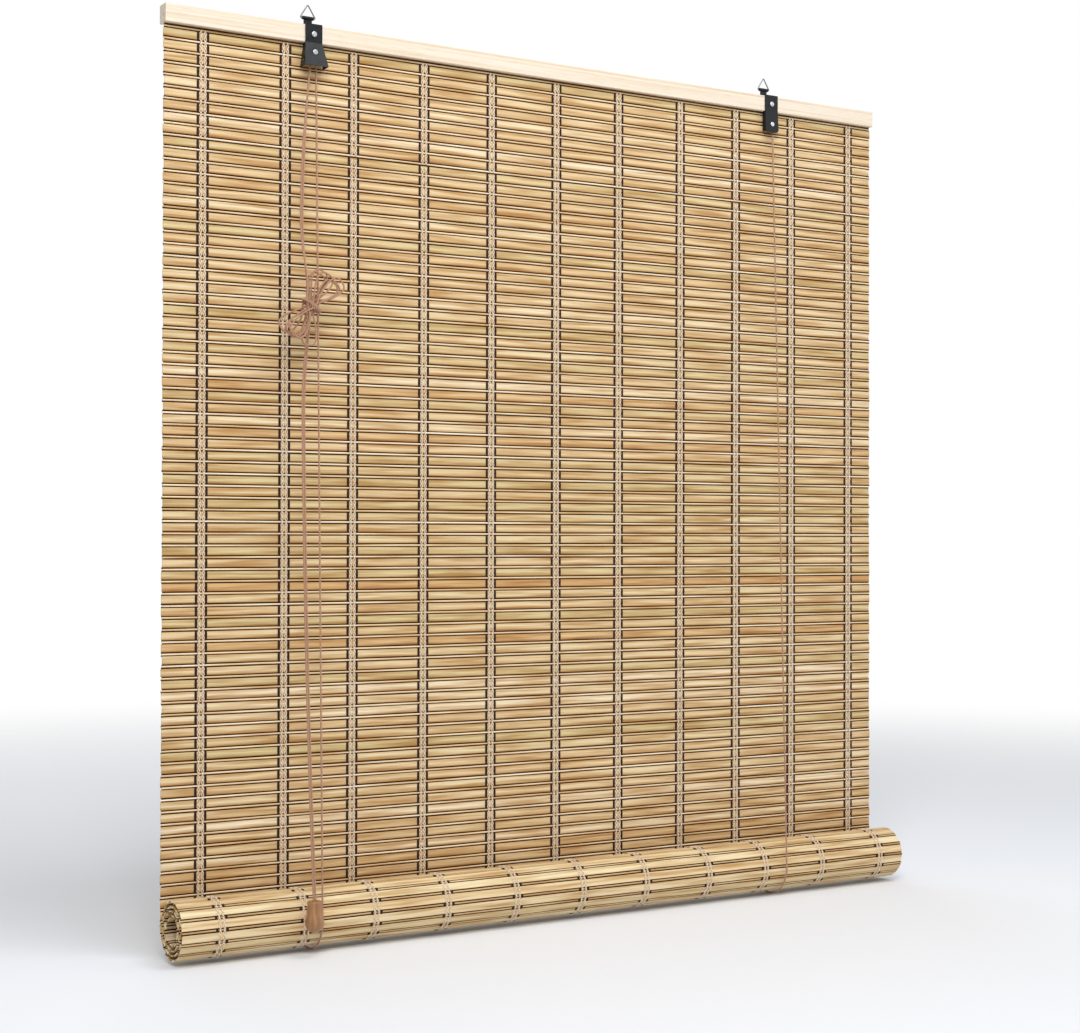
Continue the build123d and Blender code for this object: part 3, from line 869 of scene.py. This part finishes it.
# The tie's turns round the hank: half its width and depth, its middle across, and its length along
TIE_STEPS = 14
STEPS_IN_TURN = 6.5
TIE_ACROSS = 0.0132
TIE_DEPTH = 0.0102
TIE_MIDDLE = -0.0006
TIE_LENGTH = 0.0028


def tie_band():
    """The two turns of cord that hold the hank together."""
    route = []
    for step in range(TIE_STEPS + 1):
        turn = 2 * pi * step / STEPS_IN_TURN
        along = TIE_LENGTH * (step / TIE_STEPS - 0.5)
        across = TIE_ACROSS * cos(turn) + TIE_MIDDLE
        route.append(hank_point(along, across, TIE_DEPTH * sin(turn)))
    return made_mesh(cord_curve("hank_tie", route, CORD / 2))[0]


knob = finish_piece(turned_knob(), [beech], ("pull_knob",), "pull_cord", 60)
finish_piece(tie_band(), [cord_braid], (), "pull_cord", 60)
for piece, path, side in cords:
    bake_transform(piece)


# Hanging mat and roll


# How far a reed bends, and how far it lies off its place in the hanging mat and in the roll
SLAT_WANDER = 0.00013
STICK_WANDER = 0.0001
HANGING_LOOSE = 0.00014
ROLLED_LOOSE = 0.00008


def reeds():
    """All slats, sticks and gap webs, as pieces of the upper mat, the lower mat and the roll."""
    rng = random.Random(11)
    slat, stick, web = one_slat(), one_stick(), one_gap()
    groups = {}
    for row in range(HANGING_ROWS + ROLLED_ROWS):
        rolled = row >= HANGING_ROWS
        place = rolled_place if rolled else hanging_place
        down = (row - HANGING_ROWS if rolled else row) * PITCH
        part = "roll" if rolled else ("upper" if row < UPPER_ROWS else "lower")
        group = groups.setdefault(part, {"slats": [], "sticks": [], "gaps": []})
        loose = ROLLED_LOOSE if rolled else HANGING_LOOSE
        stick_down = down + SLAT + GAP + STICK / 2
        group["slats"].append(seated(slat, place(down + SLAT / 2), rng, SLAT_WANDER, loose))
        group["sticks"].append(seated(stick, place(stick_down), rng, STICK_WANDER, loose))
        for gap in (SLAT + GAP / 2, SLAT + GAP + STICK + GAP / 2):
            group["gaps"].append(seated(web, place(down + gap), rng, 0.0, 0.0))
    for master in (slat, stick, web):
        bpy.data.objects.remove(master)
    return groups


MOTION = {"upper": "headrail", "lower": "headrail", "roll": "roll"}
REED_NODE = {"upper": "slat_mat", "lower": "slat_mat", "roll": "slat_roll"}


def gathered(piece):
    """Give a hanging piece its own copy of its mesh."""
    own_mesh(piece)


for part, group in reeds().items():
    slats, sticks = (back_face_and_lit_bamboo, shaded_roll_stick) if part == "roll" else (bamboo, stick_bamboo)
    for kind, material in (("slats", slats), ("sticks", sticks), ("gaps", gap_shade)):
        piece = joined(group[kind], f"{part}_{kind}")
        finish_piece(piece, [material], (REED_NODE[part],), MOTION[part])
        if part == "lower":
            gathered(piece)


# Woven string columns


def thread(name, lines, radius):
    """Several threads as one mesh, each along its own points."""
    curve = bpy.data.curves.new(name, "CURVE")
    curve.dimensions = "3D"
    for line in lines:
        spline = curve.splines.new("POLY")
        spline.points.add(len(line) - 1)
        for knot, point in zip(spline.points, line):
            knot.co = (*point, 1.0)
    curve.bevel_depth = radius
    curve.bevel_resolution = 1
    curve.use_fill_caps = True
    piece = bpy.data.objects.new(name, curve)
    bpy.context.scene.collection.objects.link(piece)
    pick(piece)
    bpy.ops.object.convert(target="MESH")
    return bpy.context.view_layer.objects.active


STRING_RADIUS = 0.00052
STRING_START = 0.0002
PAIR_OFFSET = 0.0024
PAIR_SWING = 0.0014
# A string's places in one row, from its top, and how far out from the mat's middle it lies there
QUARTERS = (0.16, 0.36, 0.56, 0.835)
STRING_OUT = (0.0012, 0.0013, 0.0012, 0.00155)
STRING_OVER = 0.00028
STRING_UNDER = -0.0001


def string_pair_x(pair, strand, quarter):
    """How far a string of a twisted pair stands from its column's middle at a quarter of a row."""
    swing = (1, 0, -1, 0)[quarter % 4] * (1 if strand else -1)
    return (PAIR_OFFSET if pair else -PAIR_OFFSET) + PAIR_SWING * swing


def string_out(quarter, strand):
    """How far a string stands out from the middle of the mat at each quarter of a row."""
    crossing = STRING_OVER if (quarter // 2 + strand) % 2 else STRING_UNDER
    return STRING_OUT[quarter % 4] + (crossing if quarter % 2 else 0.0)


def weave(index, side, first, last):
    """The cream strings of one column over the hanging rows, on one face of the mat."""
    lines = []
    for pair in (0, 1):
        for strand in (0, 1):
            line = []
            for row in range(first, last):
                for quarter in range(4):
                    z = MAT_TOP - (row + QUARTERS[quarter]) * PITCH
                    if z > HEADRAIL_BOTTOM - STRING_START:
                        continue
                    x = column_x(index) + string_pair_x(pair, strand, quarter)
                    line.append((x, MAT_Y + side * string_out(quarter, strand), z))
            lines.append(line)
    return thread(f"weave_{index}", lines, STRING_RADIUS)


# A float's width as a share of the yarn, and its depth and width where it goes under at its ends,
# and its depth along its sides, as shares of those in its middle
FLOAT_WIDTH = 1.15
FLOAT_END_DEPTH = 0.35
FLOAT_END_WIDTH = 0.86
FLOAT_SIDE_DEPTH = 0.6


def yarn_pillow(height, rise):
    """One float of dark yarn, arched over a reed."""
    pillow = bar((FLOAT_WIDTH * YARN, rise, height), "yarn_master")
    pick(pillow)
    bpy.ops.object.mode_set(mode="EDIT")
    bpy.ops.mesh.select_all(action="SELECT")
    bpy.ops.mesh.subdivide(number_cuts=1)
    bpy.ops.object.mode_set(mode="OBJECT")
    for vertex in pillow.data.vertices:
        place = vertex.co
        if abs(place.z) > 0.4 * height:
            place.y *= FLOAT_END_DEPTH
            place.x *= FLOAT_END_WIDTH
        if abs(place.x) > 0.3 * YARN:
            place.y *= FLOAT_SIDE_DEPTH
    return pillow


def shifted(piece, offset):
    """Move a piece's mesh."""
    for vertex in piece.data.vertices:
        vertex.co += Vector(offset)
    return piece


def float_column(master, x, y, z, count):
    """Floats of yarn down a column, one each row."""
    piece = master.copy()
    piece.data = master.data.copy()
    bpy.context.scene.collection.objects.link(piece)
    shifted(piece, (x, y, z))
    return modified(
        piece,
        "ARRAY",
        count=count,
        use_relative_offset=False,
        use_constant_offset=True,
        constant_offset_displace=(0, 0, -PITCH),
    )


def tinted(piece, index):
    """Give a piece the two thread materials, with all its faces on one of them."""
    for material in (cream, dark_yarn):
        piece.data.materials.append(material)
    for face in piece.data.polygons:
        face.material_index = index
    return piece


# Each float reaches a little past its reed, and lies on the face of the mat
FRONT_FLOAT_OUT = 0.00095
BACK_FLOAT_OUT = 0.00115
PAST_SLAT = 0.0014
PAST_STICK = 0.0018
front_float = yarn_pillow(SLAT + PAST_SLAT, 0.0012)
back_float = yarn_pillow(STICK + PAST_STICK, 0.0009)


def string_column(index, part, first, last):
    """One column of strings and yarn floats, front and back, over some of the rows."""
    x = column_x(index)
    pieces = [tinted(weave(index, side, first, last), 0) for side in (-1, 1)]
    start = max(first, 1)
    for edge in (-1, 1):
        yarn_x = x + edge * YARN_SPACING / 2
        slat_z = MAT_TOP - start * PITCH - SLAT / 2
        stick_z = MAT_TOP - start * PITCH - SLAT - GAP - STICK / 2
        count = last - start
        front_y, back_y = MAT_Y - FRONT_FLOAT_OUT, MAT_Y + BACK_FLOAT_OUT
        pieces.append(tinted(float_column(front_float, yarn_x, front_y, slat_z, count), 1))
        pieces.append(tinted(float_column(back_float, yarn_x, back_y, stick_z, count), 1))
    piece = joined(pieces, f"strings_{part}_{index + 1:02d}")
    finish_piece(piece, (), (f"string_column_{index + 1:02d}",), "headrail", 60)
    if part == "lower":
        gathered(piece)


for index in range(COLUMNS):
    string_column(index, "upper", 0, UPPER_ROWS)
    string_column(index, "lower", UPPER_ROWS, HANGING_ROWS)

ROLL_STRING_ROWS = 16


def roll_column(index):
    """One column of strings and yarn floats round the outside of the roll."""
    x = column_x(index)
    lines = []
    for pair in (0, 1):
        for strand in (0, 1):
            line = []
            for row in range(ROLL_STRING_ROWS):
                for quarter in range(4):
                    down = (row + QUARTERS[quarter]) * PITCH
                    y, z = on_spiral(down, string_out(quarter, strand))
                    line.append((x + string_pair_x(pair, strand, quarter), y, z))
            lines.append(line)
    pieces = [tinted(thread(f"roll_weave_{index}", lines, STRING_RADIUS), 0)]
    for row in range(ROLL_STRING_ROWS):
        place = rolled_place(row * PITCH + SLAT + GAP + STICK / 2, BACK_FLOAT_OUT)
        for edge in (-1, 1):
            piece = back_float.copy()
            piece.data = back_float.data.copy()
            bpy.context.scene.collection.objects.link(piece)
            shifted(piece, (x + edge * YARN_SPACING / 2, 0, 0))
            piece.data.transform(place)
            pieces.append(tinted(piece, 1))
    piece = joined(pieces, f"roll_strings_{index + 1:02d}")
    finish_piece(piece, (), (f"roll_string_{index + 1:02d}",), "roll", 60)


for index in range(COLUMNS):
    roll_column(index)
for master in (front_float, back_float):
    bpy.data.objects.remove(master)


# Lifting cords


LEFT_RUN_X = -0.341
RIGHT_RUN_X = 0.302
LEFT_RUN_Y = -0.0138
RIGHT_RUN_Y = -0.014
HOLE_ABOVE_EDGE = 0.009
RUN_STEPS = 24


def front_tangent():
    """Where the taut front run of a sling leaves the roll, as (y, z)."""
    away_y = RIGHT_RUN_Y - ROLL_Y
    away_z = PULLEY_AXLE_Z - ROLL_Z
    angle = atan2(away_z, away_y) + acos(SLING_RADIUS / hypot(away_y, away_z))
    return ROLL_Y + SLING_RADIUS * cos(angle), ROLL_Z + SLING_RADIUS * sin(angle)


def taut_run(name, node, low, high):
    """A taut run of lifting cord, straight between its two ends, with its own copy of its mesh."""
    low, high = Vector(low), Vector(high)
    points = [tuple(low.lerp(high, step / RUN_STEPS)) for step in range(RUN_STEPS + 1)]
    piece = thread(name, [points], CORD / 2)
    finish_piece(piece, [cord_braid], (node,), "headrail", 60)
    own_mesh(piece)


FRONT_Y, FRONT_Z = front_tangent()
BACK_Y = ROLL_Y + SLING_RADIUS
for side, x, top in (
    ("left", LEFT_RUN_X, (-HOOK_X + WHEEL_TRACK, LEFT_RUN_Y, LOCK_AXLE_Z - WHEEL_ENTRY)),
    ("right", RIGHT_RUN_X, (HOOK_X + WHEEL_TRACK, RIGHT_RUN_Y, PULLEY_AXLE_Z - WHEEL_ENTRY)),
):
    front_low, back_low = (x, FRONT_Y, FRONT_Z), (x, BACK_Y, ROLL_Z)
    hole = (x, BACK_Y, HEADRAIL_BOTTOM + HOLE_ABOVE_EDGE)
    taut_run(f"lifting_front_{side}", f"lifting_cord_front_{side}", front_low, top)
    taut_run(f"lifting_back_{side}", f"lifting_cord_back_{side}", back_low, hole)


# Finishes of the carried pieces

FINISHES = {
    "headrail": pine,
    "lock_bracket": steel,
    "pulley_bracket": steel,
    "lock_wheel": brass,
    "pulley_wheel": brass,
    "lock_pin": brass,
    "hanging_loop_left": wire,
    "hanging_loop_right": wire,
    "mat_nails": wire,
    "bracket_screw_left": nickel,
    "bracket_screw_right": nickel,
    "lock_axle": nickel,
    "pulley_axle": nickel,
    "lock_cord": cord_braid,
    "crossing_cord": cord_braid,
    "lifting_cord_sling_left": cord_braid,
    "lifting_cord_sling_right": cord_braid,
}
for node, material in FINISHES.items():
    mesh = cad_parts[node].data
    mesh.materials.clear()
    mesh.materials.append(material)


# Floor, backdrop and light

FLOOR_ROOM = 0.0004
FLOOR_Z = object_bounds()[0][2] - FLOOR_ROOM
FLOOR_SIZE = 16.0
FADE_FROM = 1.0
FADE_TO = 3.2


def studio_floor():
    """A wide pale floor that fades into the backdrop away from the blind."""
    deselect()
    bpy.ops.mesh.primitive_grid_add(
        x_subdivisions=2, y_subdivisions=2, size=FLOOR_SIZE, location=(0, 0, FLOOR_Z)
    )
    floor = settled(bpy.context.view_layer.objects.active)
    floor.name = "studio_floor"
    material = bpy.data.materials.new("studio_floor")
    material.use_nodes = True
    tree = material.node_tree
    tree.nodes.clear()
    place = add(tree, "ShaderNodeTexCoord").outputs["Object"]
    flat = add(
        tree, "ShaderNodeVectorMath", {0: place, 1: (1.0, 1.0, 0.0)}, operation="MULTIPLY"
    ).outputs[0]
    reach = add(tree, "ShaderNodeVectorMath", {0: flat}, operation="LENGTH").outputs["Value"]
    fade = add(
        tree,
        "ShaderNodeMapRange",
        {"Value": reach, "From Min": FADE_FROM, "From Max": FADE_TO, "To Min": 0.0, "To Max": 1.0},
        interpolation_type="SMOOTHSTEP",
    ).outputs["Result"]
    cloth = add(tree, "ShaderNodeBsdfDiffuse", {"Color": ink("#EDF0F5")})
    clear = add(tree, "ShaderNodeBsdfTransparent")
    mixed = add(tree, "ShaderNodeMixShader", {0: fade, 1: cloth.outputs[0], 2: clear.outputs[0]})
    add(tree, "ShaderNodeOutputMaterial", {"Surface": mixed.outputs[0]})
    floor.data.materials.append(material)


def soft_light(name, place, aim, size, power):
    """A large soft lamp turned to its aim."""
    lamp = bpy.data.lights.new(name, "AREA")
    lamp.shape = "RECTANGLE"
    lamp.size, lamp.size_y = size
    lamp.energy = power
    piece = bpy.data.objects.new(name, lamp)
    way = Vector(aim) - Vector(place)
    turn = way.to_track_quat("-Z", "Y").to_matrix().to_4x4()
    piece.matrix_world = Matrix.Translation(place) @ turn
    bpy.context.scene.collection.objects.link(piece)
    piece.visible_camera = False


def studio():
    """A white backdrop for the camera and reflections, a dimmer fill, and four soft lamps."""
    world = bpy.data.worlds.new("studio")
    bpy.context.scene.world = world
    world.use_nodes = True
    tree = world.node_tree
    tree.nodes.clear()
    ray = add(tree, "ShaderNodeLightPath")
    seen = add(
        tree,
        "ShaderNodeMath",
        {0: ray.outputs["Is Camera Ray"], 1: ray.outputs["Is Glossy Ray"]},
        operation="MAXIMUM",
    ).outputs[0]
    seen = add(
        tree,
        "ShaderNodeMath",
        {0: seen, 1: ray.outputs["Is Transmission Ray"]},
        operation="MAXIMUM",
    ).outputs[0]
    fill = add(tree, "ShaderNodeBackground", {"Color": ink("#FFFFFF"), "Strength": 0.42})
    shown = add(tree, "ShaderNodeBackground", {"Color": ink("#FFFFFF"), "Strength": 1.0})
    mixed = add(tree, "ShaderNodeMixShader", {0: seen, 1: fill.outputs[0], 2: shown.outputs[0]})
    add(tree, "ShaderNodeOutputWorld", {"Surface": mixed.outputs[0]})
    soft_light("key", (-1.4, -2.2, 1.3), (0, 0, -0.55), (1.0, 1.0), 39)
    soft_light("side", (2.2, -1.8, 0.3), (0, 0, -0.55), (1.4, 1.8), 9)
    soft_light("above", (0.1, -1.2, 1.5), (0, -0.1, -1.0), (1.6, 1.0), 27)
    soft_light("rear", (0.4, 2.2, 0.9), (0, 0, -0.6), (2.0, 1.4), 14)


studio_floor()
studio()
bpy.context.scene.view_settings.view_transform = "Standard"
